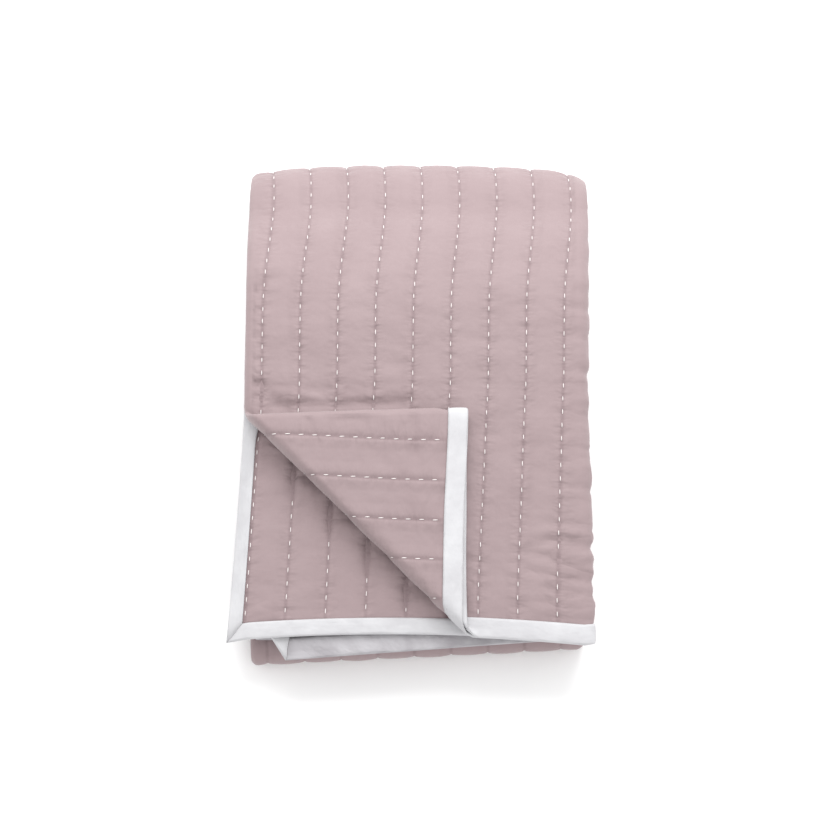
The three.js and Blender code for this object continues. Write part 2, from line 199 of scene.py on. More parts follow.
# Creases, in mm: where each starts, where it ends, its width and its height
CREASES = {
    "top": (
        ((-168, -16), (-96, -15), 6, -3.4),
        ((-104, -15), (-2, -12), 6, -4),
        ((160, -148), (205, -158), 4, -2.5),
        ((150, -168), (206, -175), 5, -3.4),
        ((138, -186), (206, -197), 5, -3.4),
        ((140, -204), (205, -216), 5.5, -3.9),
        ((156, -224), (204, -233), 4.5, -3.4),
        ((150, -240), (204, -248), 5, -2.8),
        ((176, -108), (206, -112), 4, -2),
        ((180, -60), (206, -66), 4, -2),
        ((184, 30), (204, 22), 4.5, -2.2),
        ((182, 104), (200, 98), 4, -2.1),
        ((-186, 114), (-160, 140), 4.5, -3.4),
        ((-188, 92), (-164, 102), 4, -2.8),
        ((-190, 60), (-170, 72), 4.5, -2.5),
        ((-190, 34), (-172, 40), 4, -2.2),
        ((-190, 14), (-166, 8), 4, -3.1),
        ((-188, -2), (-162, -8), 4.5, -3.6),
        ((-176, 10), (-134, -24), 6, -3.6),
        ((-120, 6), (-84, -6), 7, -2),
        ((-34, 34), (6, 26), 6, -1.8),
        ((58, 66), (96, 58), 6, -1.5),
        ((64, -40), (100, -50), 7, -2),
        ((64, -120), (92, -132), 6, -2),
        ((60, -196), (88, -190), 6, -2.1),
    ),
    "flap": (
        ((3, -29), (5, -64), 3.2, -3.6),
        ((6, -64), (14, -96), 5, -2.2),
        ((-24, -76), (20, -82), 6, 1.7),
        ((-96, -34), (-30, -38), 5, -2.1),
        ((-40, -62), (-22, -84), 5, -2.1),
        ((4, -104), (34, -110), 5, -2.2),
        ((8, -150), (30, -158), 5, -2),
        ((-120, -24), (-112, -50), 4, -2.2),
    ),
    "corner": (
        ((-131, -70), (-138, -120), 5, -5.6),
        ((-90, -116), (-93, -160), 5, -5.9),
        ((-49, -157), (-50, -206), 5, -5.9),
        ((-5, -201), (-6, -246), 5, -5.3),
        ((-118, -88), (-98, -112), 6, -3.6),
        ((-74, -130), (-56, -150), 6, -3.1),
        ((-30, -176), (-14, -196), 6, -2.8),
        ((-168, -46), (-144, -54), 4, 3.4),
        ((-166, -58), (-144, -68), 4, 2.8),
        ((-164, -52), (-146, -60), 3.5, -3.1),
        ((-150, -116), (-132, -108), 5, -2.5),
        ((-124, -170), (-104, -182), 6, -2.2),
        ((-176, -240), (-140, -256), 5, 2.5),
    ),
}
CREASE_CUTOFF = 3
CREASE_TAPER = 0.9
TAPER_POWER = 0.5

# Unevenness of the faces that show, with its own layer of noise for each face, and the groove that
# the thread draws into the cloth
SOFT_WAVE = Wave(15, 24, 0, 1.3 * MM)
FINE_WAVE = Wave(38, 62, 0, 0.6 * MM)
FACE_LAYER = {"top": 3.1, "flap": 8.4, "corner": 8.4}
GROOVE_DEPTH = 0.8 * MM
GROOVE_WIDTH = 1.9 * MM

# Where fine wrinkles gather on each face: the middle and reach in mm, and how strong they are
RUMPLES = {
    "top": (
        ((188, -196), (42, 66), 1),
        ((196, -40), (14, 120), 0.5),
        ((190, 100), (16, 60), 0.55),
        ((-182, 108), (24, 46), 0.8),
        ((-184, 30), (22, 44), 0.85),
        ((-158, -2), (38, 24), 1),
        ((-80, 0), (70, 20), 0.5),
        ((62, -236), (20, 40), 0.8),
        ((60, -110), (26, 100), 0.4),
    ),
    "flap": (
        ((-20, -44), (90, 30), 0.55),
        ((20, -110), (40, 90), 0.6),
        ((28, -222), (26, 40), 0.9),
    ),
    "corner": (
        ((-162, -66), (24, 36), 1),
        ((-126, -92), (26, 34), 0.9),
        ((-84, -134), (26, 36), 0.9),
        ((-42, -176), (26, 38), 0.9),
        ((4, -222), (30, 44), 1),
        ((-160, -244), (34, 24), 0.7),
    ),
}
EVEN_RUMPLE = 0.1
WRINKLE_HEIGHT = 4.0 * MM
WRINKLE_WAVE = Wave(15, 36, 4.4, 1.0)
WRINKLE_GAIN = 1.8
WRINKLE_LEVEL = 0.5

# Running stitches
STITCH_DRIFT = Wave(3.3, 1, 0.2, 0.35)
STITCH_WANDER = Wave(50, 120, 2.2, 0.35 * MM)
STITCH_VARIETY = Wave(80, 90, 6.1, 0.12)
STITCH_RISE = 0.5 * MM
STITCH_END_ROOM = 3 * MM
STITCH_PROBE = 2 * MM
STITCH_SEGMENTS = 6
THREAD_FLATNESS = 0.8

# Mesh: steps and rows in metres, or their number
CHANNEL_SHARES = (0.0, 0.05, 0.13, 0.3, 0.5, 0.7, 0.87, 0.95)
TOP_ROW = 4 * MM
SIDE_BINDING_ROW = 8 * MM
HIDDEN_ROW = 52 * MM
FOLD_SIDE_STEP = 4 * MM
FLAP_EDGE_STEP = 6 * MM
LOWER_HEM_STEP = 6 * MM
TOP_HEM_STEP = 5 * MM
STEPS = dict(right_fold=12, left_fold=10, inner_back=6, front=12, outer_back=22)
BINDING_STEPS = 7
NOSE_STEPS = 6
BINDING_UV_STEP = 3 * MM
LEAST_STEP = 0.4 * MM
CUT_TOLERANCE = 1e-5
TINY = 1e-6

# Materials and studio, in metres
THREADS_PER_METRE = 1400
FLOOR_HALF_WIDTH = 6.0
LIGHT_TARGET = (0, 0, 0.05)
KEY_LIGHT = {"place": (0.1, 1.5, 1.7), "size": 1.8}
FILL_LIGHT = {"place": (0.9, -2.2, 2.2), "size": 2.2}
SURROUND_STRENGTH = 1.1
CAMERA_REACH = 50

# Photograph's view
IMAGE_PIXELS = 828
SENSOR = 36 * MM


def clamp(value, low, high):
    return max(low, min(high, value))


def lerp(a, b, share):
    return a + (b - a) * share


def smoothstep(low, high, value):
    """A smooth step from 0 at low to 1 at high, which may be the smaller of the two"""
    t = clamp((value - low) / (high - low), 0.0, 1.0)
    return t * t * (3 - 2 * t)


def wave_at(wave, across, along, shift=0.0):
    """Height of a wave of noise at a place. A shift gives another pattern of the same wave"""
    place = Vector((across * wave.across, along * wave.along, wave.layer + shift))
    return wave.strength * noise.noise(place)


def in_order(lengths):
    """Stretches of the flat cloth that follow each other, from their names and lengths"""
    stretches = []
    start = 0.0
    for name, length in lengths.items():
        stretches.append(Stretch(name, start, length, start + length))
        start += length
    return stretches


STRIPS = in_order({
    "under": RIGHT_FOLD_X - OUTER_EDGE_X,
    "right_fold": math.pi * PITCH,
    "top": RIGHT_FOLD_X - LEFT_FOLD_X,
    "left_fold": math.pi * PITCH / 2,
    "inner": INNER_EDGE_X - LEFT_FOLD_X,
})
UNDER, RIGHT_FOLD, TOP, LEFT_FOLD, INNER = STRIPS
CLOTH_WIDTH = INNER.end

QUARTERS = in_order({
    "first": BACK_FOLD_Y - END_Y,
    "inner_back": math.pi * PITCH * TIGHT_FOLD,
    "second": BACK_FOLD_Y - FRONT_FOLD_Y,
    "front": math.pi * PITCH * TIGHT_FOLD,
    "third": BACK_FOLD_Y - FRONT_FOLD_Y,
    "outer_back": math.pi * PITCH * WIDE_FOLD,
    "fourth": BACK_FOLD_Y - END_Y,
})
FIRST, INNER_BACK, SECOND, FRONT, THIRD, OUTER_BACK, FOURTH = QUARTERS
CLOTH_LENGTH = FOURTH.end


def stretch_at(stretches, place):
    """The stretch in which a place lies"""
    for stretch in stretches:
        if place <= stretch.end:
            return stretch
    return stretches[-1]


def quilting_lines():
    """Lines of quilting, as places across the cloth"""
    starts = (
        (UNDER, EDGE_MARGIN, 0.0),
        (TOP, FOLD_MARGIN, 0.0),
        (INNER, FLAP_MARGIN, BINDING_WIDTH),
    )
    lines = []
    for strip, first, last in starts:
        count = int((strip.length - first - last) / CHANNEL) + 1
        lines += [strip.start + first + i * CHANNEL for i in range(count)]
    return lines


LINES = quilting_lines()


@lru_cache(maxsize=None)
def channel_at(u):
    """The two lines or edges on either side of a place"""
    before = max((line for line in LINES if line <= u + TINY), default=0.0)
    after = min((line for line in LINES if line > u + TINY), default=CLOTH_WIDTH)
    return before, after


# Folding


def across_point(u):
    """Section of the threefold: place, height from the middle layer, and the outward direction"""
    strip = stretch_at(STRIPS, u)
    along = u - strip.start
    share = along / strip.length
    if strip is UNDER:
        return OUTER_EDGE_X + along, -PITCH, 0.0, -1.0
    if strip is RIGHT_FOLD:
        c, s = math.cos(math.pi * (share - 0.5)), math.sin(math.pi * (share - 0.5))
        return RIGHT_FOLD_X + PITCH * c, PITCH * s, c, s
    if strip is TOP:
        return RIGHT_FOLD_X - along, PITCH, 0.0, 1.0
    if strip is LEFT_FOLD:
        c, s = math.cos(math.pi * (share + 0.5)), math.sin(math.pi * (share + 0.5))
        return LEFT_FOLD_X + PITCH / 2 * c, PITCH / 2 * (1 + s), c, s
    return LEFT_FOLD_X + along, 0.0, 0.0, -1.0


def along_point(v):
    """Route of the middle layer: place, height and the direction towards the top layer"""
    quarter = stretch_at(QUARTERS, v)
    along = v - quarter.start
    level = LEVEL[quarter.name] * PITCH
    angle = math.pi * (along / quarter.length - 0.5)
    c, s = math.cos(angle), math.sin(angle)
    tight, wide = PITCH * TIGHT_FOLD, PITCH * WIDE_FOLD
    if quarter is FIRST:
        return END_Y + along, level, 0.0, -1.0
    if quarter is INNER_BACK:
        return BACK_FOLD_Y + tight * c, level - tight * s, -c, s
    if quarter is SECOND:
        return BACK_FOLD_Y - along, level, 0.0, 1.0
    if quarter is FRONT:
        return FRONT_FOLD_Y - tight * c, level - tight * s, -c, -s
    if quarter is THIRD:
        return FRONT_FOLD_Y + along, level, 0.0, -1.0
    if quarter is OUTER_BACK:
        return BACK_FOLD_Y + wide * c, level + wide * s, c, s
    return BACK_FOLD_Y - along, level, 0.0, 1.0


def tuck_share(place, hold, end):
    """Rises from 0 at the cloth's edge to 1, and fades from one place inside it to another"""
    return smoothstep(0.0, TUCK_RISE, place) * (1 - smoothstep(hold, end, place))


def stray(u, v, y):
    """How far a place strays sideways and forward from the straight fold or edge"""
    quarter = stretch_at(QUARTERS, v)
    strip = stretch_at(STRIPS, u)
    lower = quarter is FIRST or quarter is INNER_BACK
    upper = quarter is OUTER_BACK or quarter is FOURTH
    end = STRAY["lower_end" if lower else "top_end" if upper else "front_fold"]
    if y > 0:
        end = STRAY["back"]
    a, b = (end[side] for side in SIDES[strip.name])
    share = (u - strip.start) / strip.length
    reach = clamp(y / (BACK_FOLD_Y if y > 0 else END_Y), 0.0, 1.0)
    sideways = lerp(a[0], b[0], share) * reach ** (LOWER_CORNER_POWER if lower else STRAY_POWER)
    forward = lerp(a[1], b[1], share)
    if upper and y < 0 and strip in (UNDER, TOP):
        forward += PULL_BACK * math.sin(math.pi * share)
    if upper and strip is UNDER:
        side_tuck = EDGE_TUCK * tuck_share(u, TUCK_REACH, UNDER.length)
        sideways -= side_tuck * smoothstep(0.0, -FRONT_RAMP, y)
        forward -= END_TUCK * tuck_share(CLOTH_LENGTH - v, END_TUCK_HOLD, TUCK_REACH)
    return sideways * MM, forward * reach**STRAY_POWER * MM


def fold(u, v, w):
    """A point of the flat cloth, folded, before its corner is turned and the stack settles"""
    x, h, out_x, out_h = across_point(u)
    y, z, up_y, up_z = along_point(v)
    h += w * out_h
    shift_x, shift_y = stray(u, v, y)
    return x + w * out_x + shift_x, y + h * up_y + shift_y, z + h * up_z


def past_turn(x, y):
    """How far a place lies past the slanting line where the corner starts to bend"""
    return (TURN_LINE - x - y) / math.sqrt(2)


def turn_corner(x, y, z):
    """The corner bends up along a slanting line and lies back on the stack"""
    past = past_turn(x, y)
    if past <= 0:
        return x, y, z
    radius = TURN_CENTRE - z
    outer = clamp((radius - PITCH) / PITCH, -LAG_LIMIT, LAG_LIMIT)
    away = smoothstep(0.0, LAG_RAMP, x - LEFT_FOLD_X)
    length = TURN_LENGTH + 2 * TURN_LAG * outer * away
    angle = math.pi * min(past / length, 1.0)
    beyond = max(past - length, 0.0)
    move = (past - TURN_FLATNESS * radius * math.sin(angle) + beyond) / math.sqrt(2)
    return x + move, y + move, TURN_CENTRE - radius * math.cos(angle)


def slope(a, b):
    """How steeply the settled stack rises from one row to another"""
    return (b.share - a.share) / (b.y - a.y)


def settled_share(y):
    """Share of the stack's full height at a place, on a smooth curve through the rows"""
    rows = SETTLING
    place = clamp(y / MM, rows[0].y, rows[-1].y)
    i = next(k for k in range(1, len(rows)) if place <= rows[k].y)
    a, b = rows[i - 1], rows[i]
    slope_a = slope(rows[max(i - 2, 0)], b)
    slope_b = slope(a, rows[min(i + 1, len(rows) - 1)])
    gap = b.y - a.y
    t = (place - a.y) / gap
    return (
        (2 * t**3 - 3 * t**2 + 1) * a.share
        + (t**3 - 2 * t**2 + t) * gap * slope_a
        + (3 * t**2 - 2 * t**3) * b.share
        + (t**3 - t**2) * gap * slope_b
    )


def settle(x, y, z):
    """The stack sinks under its own weight, most of all at the back fold, the sides and the front"""
    side = min(abs(x) / HALF_WIDTH, 1.0)
    back = clamp((y - BACK_START_Y) / BACK_REACH, 0.0, 1.0)
    droop = EDGE_DROOP * smoothstep(DROOP_FROM_X, DROOP_TO_X, x) * smoothstep(0.0, -FRONT_RAMP, y)
    height = settled_share(y) * (1 - SIDE_DROP * side**SIDE_DROP_POWER) * (1 - droop)
    lowest = (PITCH - CROWN) / 2
    drawn_in = (BACK_BOW * side**2 + CORNER_ROUNDING * side**CORNER_POWER) * back**2
    return Vector((x, y - drawn_in, (z - lowest) * height))


def place_cloth(u, v, w):
    """Where a point of the flat cloth ends up"""
    x, y, z = fold(u, v, w)
    in_turned_layers = v >= FOURTH.start and u >= TOP.start
    if in_turned_layers:
        x, y, z = turn_corner(x, y, z)
    return settle(x, y, z)


# Thickness and creases


def half_thickness(u, v):
    """Half the cloth's thickness: full between two lines, thin at a line and in the binding"""
    from_end = min(v, CLOTH_LENGTH - v)
    if min(u, CLOTH_WIDTH - u, from_end) <= THIN_EDGE:
        return VALLEY / 2
    before, after = channel_at(u)
    share = clamp((u - before) / (after - before), 0.0, 1.0)
    swell = math.sin(math.pi * share) ** SWELL_POWER
    near_end = smoothstep(BINDING_WIDTH, HEM, from_end)
    uneven = 1 + wave_at(LONG_SWELL, before, v) + wave_at(SHORT_SWELL, before, v)
    return lerp(VALLEY, CROWN, swell * near_end * min(uneven, MOST_SWELL)) / 2


def crease_height(face, x, y):
    """Sum of the creases of a face at a place seen from above"""
    total = 0.0
    point = Vector((x / MM, y / MM))
    for start, end, width, height in CREASES[face]:
        run = Vector(end) - Vector(start)
        from_start = point - Vector(start)
        share = from_start.dot(run) / run.length_squared
        off = (from_start - run * clamp(share, 0.0, 1.0)).length
        if off > CREASE_CUTOFF * width:
            continue
        tapered = clamp(0.5 + (share - 0.5) * CREASE_TAPER, 0.0, 1.0)
        taper = math.sin(math.pi * tapered) ** TAPER_POWER
        total += height * taper * math.exp(-((off / width) ** 2))
    return total * MM


def rumple_at(face, x, y):
    """How strongly a face is wrinkled at a place seen from above, from 0 to 1"""
    strongest = EVEN_RUMPLE
    for middle, reach, amount in RUMPLES[face]:
        off_x = (x / MM - middle[0]) / reach[0]
        off_y = (y / MM - middle[1]) / reach[1]
        strongest = max(strongest, amount * math.exp(-(off_x**2) - off_y**2))
    return strongest


def visible_face(u, v, side):
    """Name of the face that shows, or None: the outside of the top, the flap or the bare corner"""
    if v < OUTER_BACK.start:
        return None
    strip = stretch_at(STRIPS, u)
    x, y, z = fold(u, v, 0.0)
    past = past_turn(x, y)
    if strip is RIGHT_FOLD and side > 0 and v >= FOURTH.start:
        return "top"
    if strip is TOP and side > 0 and past < 0:
        return "top"
    if strip is INNER and side > 0 and past > TURN_LENGTH / 2:
        return "flap"
    if strip is UNDER and side < 0 and past > CORNER_SHOWS_FROM:
        return "corner"
    return None


def unevenness(face, u, v, place):
    """How far a face that shows stands out or lies in, at a place of the flat and the folded cloth"""
    uneven = wave_at(SOFT_WAVE, place.x, place.y, FACE_LAYER[face])
    uneven += wave_at(FINE_WAVE, place.x, place.y, FACE_LAYER[face])
    before, after = channel_at(u)
    from_line = min(u - before, after - u) / GROOVE_WIDTH
    uneven -= GROOVE_DEPTH * math.exp(-(from_line**2))
    ridge = WRINKLE_GAIN * abs(wave_at(WRINKLE_WAVE, u, v)) - WRINKLE_LEVEL
    return uneven + WRINKLE_HEIGHT * rumple_at(face, place.x, place.y) * ridge


def surface_offset(u, v, side):
    """How far a face of the cloth stands from its middle, with what creases it"""
    lies_flat = side > 0 and THIRD.start <= v <= THIRD.end and TOP.start <= u <= TOP.end
    if lies_flat:
        return CROWN / 2
    offset = half_thickness(u, v)
    face = visible_face(u, v, side)
    if face:
        place = place_cloth(u, v, 0.0)
        edge = min(u, CLOTH_WIDTH - u, v, CLOTH_LENGTH - v)
        fade = smoothstep(BINDING_WIDTH, FULL_CREASES, edge)
        offset += fade * (crease_height(face, place.x, place.y) + unevenness(face, u, v, place))
    return offset


# Meshes


def link_mesh(name, bm):
    """An object in the scene, made from a bmesh"""
    mesh = bpy.data.meshes.new(name)
    bm.to_mesh(mesh)
    bm.free()
    obj = bpy.data.objects.new(name, mesh)
    bpy.context.collection.objects.link(obj)
    return obj


def new_piece(name, bm):
    """A finished smooth piece from a bmesh, which rides the part's one body"""
    bmesh.ops.recalc_face_normals(bm, faces=bm.faces)
    obj = link_mesh(name, bm)
    obj.data.polygons.foreach_set("use_smooth", [True] * len(obj.data.polygons))
    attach(obj, "root")
    return obj


def grid_at(across, along):
    """A flat grid whose points stand at the given places across and along"""
    bm = bmesh.new()
    columns, rows = len(across) - 1, len(along) - 1
    bmesh.ops.create_grid(bm, x_segments=columns, y_segments=rows, size=0.5)
    for vert in bm.verts:
        i = round((vert.co.x + 0.5) * columns)
        j = round((vert.co.y + 0.5) * rows)
        vert.co = (across[i], along[j], -1.0)
    return bm


def cut_along_turn(bm):
    """Cuts the flat cloth along the bend of the turned corner, so that the bend is smooth"""
    for i in range(TURN_CUTS + 1):
        past = (TURN_LENGTH + TURN_LAG) * i / TURN_CUTS
        start_v = FOURTH.start + BACK_FOLD_Y + LEFT_FOLD_X - TURN_LINE + past * math.sqrt(2)
        cuts = (
            (TOP, Vector((TOP.end, start_v, 0)), Vector((1, 1, 0))),
            (LEFT_FOLD, Vector((TOP.end, start_v, 0)), Vector((0, 1, 0))),
            (INNER, Vector((INNER.start, start_v, 0)), Vector((1, -1, 0))),
        )
        for strip, point, normal in cuts:
            inside = [f for f in bm.faces if in_top_quarter(f.calc_center_median(), strip)]
            edges = {e for f in inside for e in f.edges}
            points = {p for f in inside for p in f.verts}
            geom = [*inside, *edges, *points]
            bmesh.ops.bisect_plane(
                bm, geom=geom, dist=CUT_TOLERANCE, plane_co=point, plane_no=normal
            )


def in_top_quarter(place, strip):
    """Whether a place of the flat cloth is in the last quarter of a strip"""
    return strip.start < place.x < strip.end and place.y > FOURTH.start


def close_grid(bm):
    """Extrudes the flat grid into a closed slab, with its two faces at -1 and 1"""
    result = bmesh.ops.extrude_face_region(bm, geom=bm.faces[:], use_keep_orig=True)
    for vert in (item for item in result["geom"] if isinstance(item, bmesh.types.BMVert)):
        vert.co.z = 1.0


def write_cloth_coordinates(bm, flat_place):
    """UV map in metres of flat cloth, from the points' places before they are folded"""
    layer = bm.loops.layers.uv.new("flat_cloth")
    for face in bm.faces:
        for loop in face.loops:
            loop[layer].uv = flat_place(loop.vert.co)


def between(start, end, step):
    """Evenly spaced places from start up to, but not at, end"""
    count = max(1, round((end - start) / step))
    return [start + (end - start) * i / count for i in range(count)]


def without_doubles(places):
    """Sorted places, with those that nearly coincide left out"""
    kept = []
    for place in sorted(places):
        if not kept or place - kept[-1] > LEAST_STEP:
            kept.append(place)
    return kept


def across_stations():
    """Places across the cloth where its mesh has points"""
    places = {0.0, BINDING_WIDTH, CLOTH_WIDTH - BINDING_WIDTH, CLOTH_WIDTH, *LINES}
    for before, after in zip(LINES, LINES[1:]):
        if abs(after - before - CHANNEL) < TINY:
            places.update(before + CHANNEL * share for share in CHANNEL_SHARES)
    for side_fold in (RIGHT_FOLD, LEFT_FOLD):
        steps = STEPS[side_fold.name]
        places.update(side_fold.start + side_fold.length * i / steps for i in range(steps + 1))
    for strip in (UNDER, TOP):
        last = max(line for line in LINES if line < strip.end)
        places.update(between(last, strip.end, FOLD_SIDE_STEP))
    for strip in (TOP, INNER):
        places.update(between(strip.start, strip.start + FOLD_MARGIN, FOLD_SIDE_STEP))
    places.update(between(LINES[-1], CLOTH_WIDTH - BINDING_WIDTH, FLAP_EDGE_STEP))
    return without_doubles(places)


def along_stations(top_row):
    """Places along the cloth where its mesh has points"""
    places = {BINDING_WIDTH, CLOTH_LENGTH - BINDING_WIDTH, CLOTH_LENGTH}
    places.update(between(0.0, HEM, LOWER_HEM_STEP))
    places.update(between(CLOTH_LENGTH - HEM, CLOTH_LENGTH, TOP_HEM_STEP))
    places.update(between(HEM, FIRST.end, HIDDEN_ROW))
    for turn in (INNER_BACK, FRONT, OUTER_BACK):
        places.update(between(turn.start, turn.end, turn.length / STEPS[turn.name]))
    for quarter in (SECOND, THIRD):
        places.update(between(quarter.start, quarter.end, HIDDEN_ROW))
    places.update(between(FOURTH.start, CLOTH_LENGTH - HEM, top_row))
    return without_doubles(places)


def line_drift(u, v):
    """How far across the cloth its quilting drifts: on the top, and on the turned corner's face"""
    if v < OUTER_BACK.start:
        return 0.0
    y = BACK_FOLD_Y - (v - FOURTH.start)
    strip = stretch_at(STRIPS, u)
    along = u - strip.start
    before_end = strip.length - along
    if strip is TOP:
        backward = TOP_DRIFT_BACK * smoothstep(BACK_DRIFT_Y, BACK_FOLD_Y, y)
        backward *= smoothstep(OUTER_BACK.start, FOURTH.start, v)
        frontward = TOP_DRIFT_FRONT * clamp((FRONT_DRIFT_Y - y) / FRONT_DRIFT_REACH, 0.0, 1.0)
        frontward *= smoothstep(0.0, LEFT_DRIFT_REACH, before_end)
        window = min(1.0, along / FOLD_MARGIN, before_end / DRIFT_FADE)
        return (frontward - backward) * window
    if strip is INNER and v > FOURTH.start:
        grows = smoothstep(0.0, END_Y, y)
        window = smoothstep(0.0, FLAP_MARGIN, along) * (1 - smoothstep(*FLAP_DRIFT_FADE, along))
        return FLAP_DRIFT * grows * window
    return 0.0


def build_cloth(top_row):
    """The quilted cloth, folded"""
    bm = grid_at(across_stations(), along_stations(top_row))
    cut_along_turn(bm)
    close_grid(bm)
    groove = bm.verts.layers.float.new("line_distance")
    rumple = bm.verts.layers.float.new("rumple")
    offset = bm.verts.layers.float.new("offset")
    for vert in bm.verts:
        u, v, side = vert.co
        before, after = channel_at(u)
        vert[groove] = min(abs(u - before), abs(after - u))
        face = visible_face(u, v, side)
        if face:
            place = place_cloth(u, v, 0.0)
            vert[rumple] = rumple_at(face, place.x, place.y)
        vert[offset] = surface_offset(u, v, side)
        vert.co.x += line_drift(u, v)
    write_cloth_coordinates(bm, lambda flat: flat.xy)
    for vert in bm.verts:
        u, v, side = vert.co
        vert.co = place_cloth(u, v, side * vert[offset])
    bm.verts.layers.float.remove(offset)
    return new_piece("quilted_cloth", bm)


# Binding


def binding_section():
    """Middle line of the folded strip: places from one inner edge round the nose to the other"""
    radius = VALLEY / 2 + BINDING_CLEARANCE + BINDING_CLOTH / 2
    nose = EDGE_CLEARANCE + BINDING_CLOTH / 2
    under = []
    for i in range(BINDING_STEPS + 1):
        share = i / BINDING_STEPS
        plump = BINDING_PLUMPNESS * math.sin(math.pi * share) ** PLUMPNESS_POWER
        under.append((lerp(BINDING_WIDTH, 0.0, share), -radius - plump))
    angles = [math.pi * i / NOSE_STEPS for i in range(1, NOSE_STEPS)]
    round_nose = [(-nose * math.sin(angle), -radius * math.cos(angle)) for angle in angles]
    above = [(inset, -w) for inset, w in reversed(under)]
    return under + round_nose + above


def binding_point(section, i, side):
    """Place on one face of the folded strip: how far in from the cloth's edge, and its height"""
    inset, w = section[i]
    behind, ahead = section[max(i - 1, 0)], section[min(i + 1, len(section) - 1)]
    run = Vector((ahead[0] - behind[0], ahead[1] - behind[1])).normalized()
    out = side * BINDING_CLOTH / 2
    return inset + run.y * out, w - run.x * out


def build_binding(name, stations, length, on_cloth, seed):
    """A mitred strip of binding along one edge of the cloth"""
    section = binding_section()
    room = BINDING_WIDTH + MITRE_ROOM
    inner = [place for place in stations if room < place < length - room]
    last = len(inner) + 1
    bm = grid_at(range(len(section)), range(last + 1))
    close_grid(bm)
    write_cloth_coordinates(
        bm, lambda flat: (flat.x * BINDING_UV_STEP, inner[round(clamp(flat.y, 1, last - 1)) - 1])
    )
    for vert in bm.verts:
        i, j, side = round(vert.co.x), round(vert.co.y), vert.co.z
        inset, w = binding_point(section, i, side)
        mitres = {0: inset + MITRE_GAP, last: length - inset - MITRE_GAP}
        along = mitres[j] if j in mitres else inner[j - 1]
        ripple = wave_at(FINE_RIPPLE, along, inset, seed) + wave_at(COARSE_RIPPLE, along, inset, seed)
        w += math.copysign(ripple, w) * smoothstep(0.0, NOSE_REACH, abs(inset))
        u, v = on_cloth(inset, along)
        vert.co = place_cloth(u, v, w)
    return new_piece(name, bm)


# Length of each strip, and where on the cloth a place lies that is so far in and so far along
BINDINGS = {
    "top_end": (CLOTH_WIDTH, lambda inset, place: (place, CLOTH_LENGTH - inset)),
    "lower_end": (CLOTH_WIDTH, lambda inset, place: (place, inset)),
    "outer_side": (CLOTH_LENGTH, lambda inset, place: (inset, place)),
    "inner_side": (CLOTH_LENGTH, lambda inset, place: (CLOTH_WIDTH - inset, place)),
}


# Stitches

# Where running stitches show: on which strip and face, from where along the cloth, and from how far
# past the line where the corner starts to bend
SEWN = (
    {"strip": TOP, "side": 1, "start": OUTER_BACK.start, "past": -math.inf},
    {"strip": UNDER, "side": -1, "start": FOURTH.start, "past": -25 * MM},
    {"strip": INNER, "side": 1, "start": FOURTH.start, "past": -5 * MM},
)

# Turns a sphere so that its poles point along the thread
POLES_ALONG = Matrix.Rotation(math.pi / 2, 4, "Y")


def stitch_frame(u, v, side):
    """Where a stitch lies: its middle, its direction along the cloth and the way out of it"""
    offset = side * (surface_offset(u, v, side) + STITCH_RISE)
    skin = side * VALLEY / 2
    u += line_drift(u, v)
    middle = place_cloth(u, v, offset)
    ahead = place_cloth(u, v + STITCH_PROBE, offset) - place_cloth(u, v - STITCH_PROBE, offset)
    across = place_cloth(u + STITCH_PROBE, v, skin) - place_cloth(u - STITCH_PROBE, v, skin)
    ahead.normalize()
    return middle, ahead, across.cross(ahead).normalized()


def add_stitch(bm, frame_of_stitch, length, width):
    """One running stitch: a slim rounded bead of thread"""
    middle, ahead, out = frame_of_stitch
    across = out.cross(ahead).normalized()
    height = width * THREAD_FLATNESS
    axes = Matrix((ahead * length / 2, across * width / 2, out * height / 2))
    shape = Matrix.Translation(middle) @ axes.transposed().to_4x4() @ POLES_ALONG
    bmesh.ops.create_uvsphere(
        bm, u_segments=STITCH_SEGMENTS, v_segments=STITCH_SEGMENTS, radius=1.0, matrix=shape
    )


def stitch_places(strip, start, least_past, period):
    """Places of the running stitches that show on one face of one strip"""
    lines = [line for line in LINES if strip.start <= line <= strip.end]
    end = CLOTH_LENGTH - BINDING_WIDTH
    for number, line in enumerate(lines):
        drift = period * wave_at(STITCH_DRIFT, number, 0.5)
        for i in range(int((end - start) / period)):
            v = start + (i + 0.5) * period + drift
            x, y, z = fold(line, v, 0.0)
            if v <= end - STITCH_END_ROOM and past_turn(x, y) > least_past:
                yield line, v


def build_stitches(length, width, period):
    """All the running stitches that show, as one mesh"""
    bm = bmesh.new()
    for row in SEWN:
        for u, v in stitch_places(row["strip"], row["start"], row["past"], period):
            frame_of_stitch = stitch_frame(u + wave_at(STITCH_WANDER, u, v), v, row["side"])
            vary = 1 + wave_at(STITCH_VARIETY, u, v)
            add_stitch(bm, frame_of_stitch, length * vary, width)
    return new_piece("running_stitches", bm)


# Materials


def new_material(name, finish):
    """A node material with only a shader, whose numbers are given by name"""
    material = bpy.data.materials.new(name)
    material.use_nodes = True
    material.node_tree.nodes.clear()
    output = add_node(material, "ShaderNodeOutputMaterial")
    shader = add_node(material, "ShaderNodeBsdfPrincipled", finish)
    link(material, shader.outputs["BSDF"], output.inputs["Surface"])
    return material, shader


def add_node(material, kind, values=None):
    """A node of a kind, with the given inputs set"""
    node = material.node_tree.nodes.new(kind)
    for name, value in (values or {}).items():
        node.inputs[name].default_value = value
    return node


def link(material, source, target):
    """Links two sockets"""
    material.node_tree.links.new(source, target)


def link_or_set(material, source, target):
    """Links a socket to an input, or sets the input where the source is a plain value"""
    if isinstance(source, bpy.types.NodeSocket):
        link(material, source, target)
    else:
        target.default_value = source


